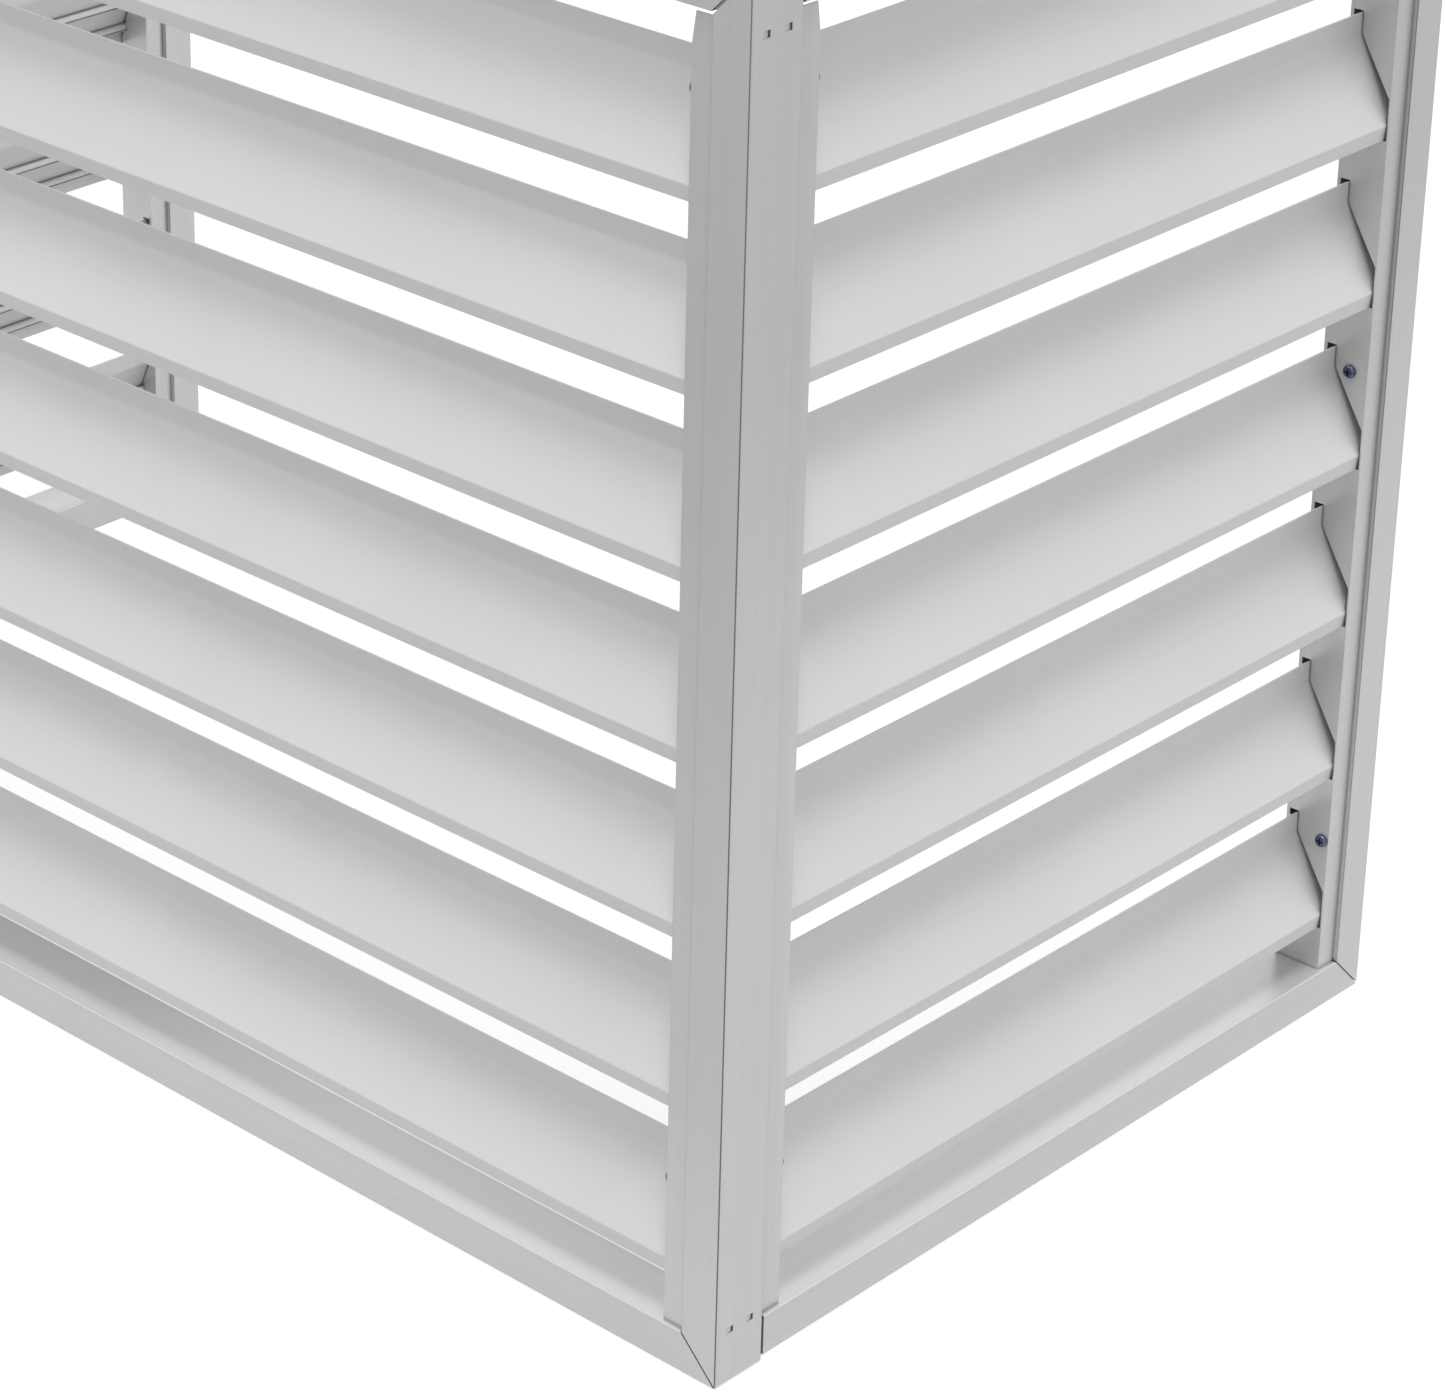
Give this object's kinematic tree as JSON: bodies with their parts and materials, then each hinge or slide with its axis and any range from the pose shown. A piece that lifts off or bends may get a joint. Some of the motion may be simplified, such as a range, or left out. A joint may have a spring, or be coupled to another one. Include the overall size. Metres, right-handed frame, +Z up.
{
  "type": "air conditioner screen",
  "caption": "Three-sided louvred aluminium screen that stands round an outdoor air conditioner unit, open at the back, the top and the floor.",
  "frame": {"origin": "on the floor, in the middle of the screen's plan", "axes": "+X along the front towards the viewer's right, +Y from the louvred front to the open back, +Z up"},
  "size_m": [1.114, 0.605, 0.8],
  "materials": {
    "coated_aluminium": "satin light grey-white coating",
    "key_alloy": "plain cast",
    "zinc_screw": "bluish zinc plate",
    "black_plastic": "moulded, fine matt"
  },
  "bodies": {
    "root": {"connector_screws": "zinc_screw", "front_blade_1": "coated_aluminium", "front_blade_2": "coated_aluminium", "front_blade_3": "coated_aluminium", "front_blade_4": "coated_aluminium", "front_blade_5": "coated_aluminium", "front_blade_6": "coated_aluminium", "front_blade_7": "coated_aluminium", "front_bottom_left_key": "key_alloy", "front_bottom_rail": "coated_aluminium", "front_bottom_right_key": "key_alloy", "front_left_carrier": "coated_aluminium", "front_left_carrier_screws": "zinc_screw", "front_left_post": "coated_aluminium", "front_right_carrier": "coated_aluminium", "front_right_carrier_screws": "zinc_screw", "front_right_post": "coated_aluminium", "front_top_left_key": "key_alloy", "front_top_rail": "coated_aluminium", "front_top_right_key": "key_alloy", "left_blade_1": "coated_aluminium", "left_blade_2": "coated_aluminium", "left_blade_3": "coated_aluminium", "left_blade_4": "coated_aluminium", "left_blade_5": "coated_aluminium", "left_blade_6": "coated_aluminium", "left_blade_7": "coated_aluminium", "left_bottom_connector": "black_plastic", "left_bottom_key": "key_alloy", "left_bottom_rail": "coated_aluminium", "left_front_carrier": "coated_aluminium", "left_front_carrier_screws": "zinc_screw", "left_rear_carrier": "coated_aluminium", "left_rear_carrier_screws": "zinc_screw", "left_rear_post": "coated_aluminium", "left_top_connector": "black_plastic", "left_top_key": "key_alloy", "left_top_rail": "coated_aluminium", "right_blade_1": "coated_aluminium", "right_blade_2": "coated_aluminium", "right_blade_3": "coated_aluminium", "right_blade_4": "coated_aluminium", "right_blade_5": "coated_aluminium", "right_blade_6": "coated_aluminium", "right_blade_7": "coated_aluminium", "right_bottom_connector": "black_plastic", "right_bottom_key": "key_alloy", "right_bottom_rail": "coated_aluminium", "right_front_carrier": "coated_aluminium", "right_front_carrier_screws": "zinc_screw", "right_rear_carrier": "coated_aluminium", "right_rear_carrier_screws": "zinc_screw", "right_rear_post": "coated_aluminium", "right_top_connector": "black_plastic", "right_top_key": "key_alloy", "right_top_rail": "coated_aluminium"}
  },
  "joints": []
}
